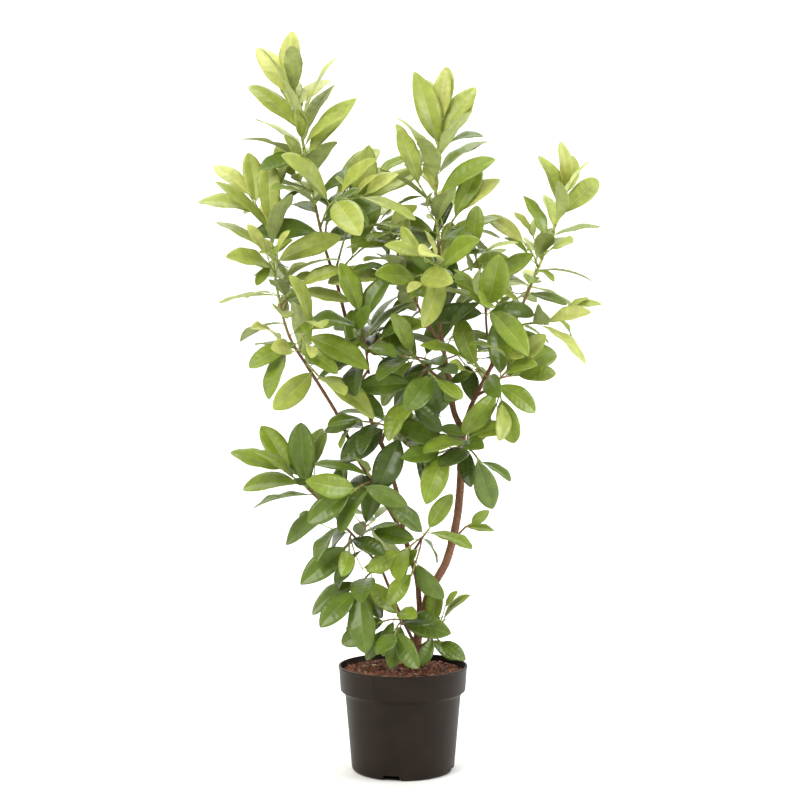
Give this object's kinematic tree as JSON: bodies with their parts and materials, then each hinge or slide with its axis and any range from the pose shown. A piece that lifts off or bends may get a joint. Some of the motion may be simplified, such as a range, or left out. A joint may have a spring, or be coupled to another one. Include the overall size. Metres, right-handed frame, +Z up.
{
  "type": "potted cherry laurel",
  "caption": "Young evergreen laurel shrub with open leafy stems, standing in a round plastic nursery pot of bark substrate.",
  "frame": {"origin": "middle of the flat underside of the pot, on the ground", "axes": "+Z up, +X to the right of the front view, -Y towards its viewer"},
  "size_m": [0.8657, 0.5877, 1.6033],
  "materials": {
    "pot_plastic": "semi-matte charcoal polypropylene",
    "bark_substrate": "rough red-brown bark chips and peat",
    "bark": "thin, slightly rough red-brown bark",
    "young_foliage": "lime-green young leaves with paler, matt undersides",
    "mature_foliage": "glossy dark green leathery leaves with pale midribs"
  },
  "bodies": {
    "root": {"base_left_mass": "mature_foliage", "base_left_spur": "bark", "base_right_mass": "mature_foliage", "base_right_spur": "bark", "centre_left_mass": "mature_foliage", "centre_left_spur": "bark", "centre_mass": "mature_foliage", "centre_spur": "bark", "fork_mass": "mature_foliage", "fork_spur": "bark", "left_crown": "young_foliage", "left_inner_mass": "mature_foliage", "left_inner_spur": "bark", "left_leader": "bark", "left_stem": "bark", "low_centre_mass": "mature_foliage", "low_centre_spur": "bark", "low_left_bough": "bark", "low_left_mass": "mature_foliage", "lower_left_mass": "mature_foliage", "lower_left_spur": "bark", "middle_crown": "young_foliage", "middle_leader": "bark", "middle_left_mass": "mature_foliage", "middle_left_spur": "bark", "middle_right_mass": "mature_foliage", "middle_right_spur": "bark", "outer_left_bough": "bark", "outer_left_crown": "young_foliage", "pot": "pot_plastic", "rear_mass": "mature_foliage", "rear_spur": "bark", "right_bough": "bark", "right_crown": "young_foliage", "right_low_mass": "mature_foliage", "right_low_spur": "bark", "right_stem": "bark", "right_stem_mass": "mature_foliage", "right_stem_spur": "bark", "soil": "bark_substrate", "trunk": "bark"}
  },
  "joints": []
}
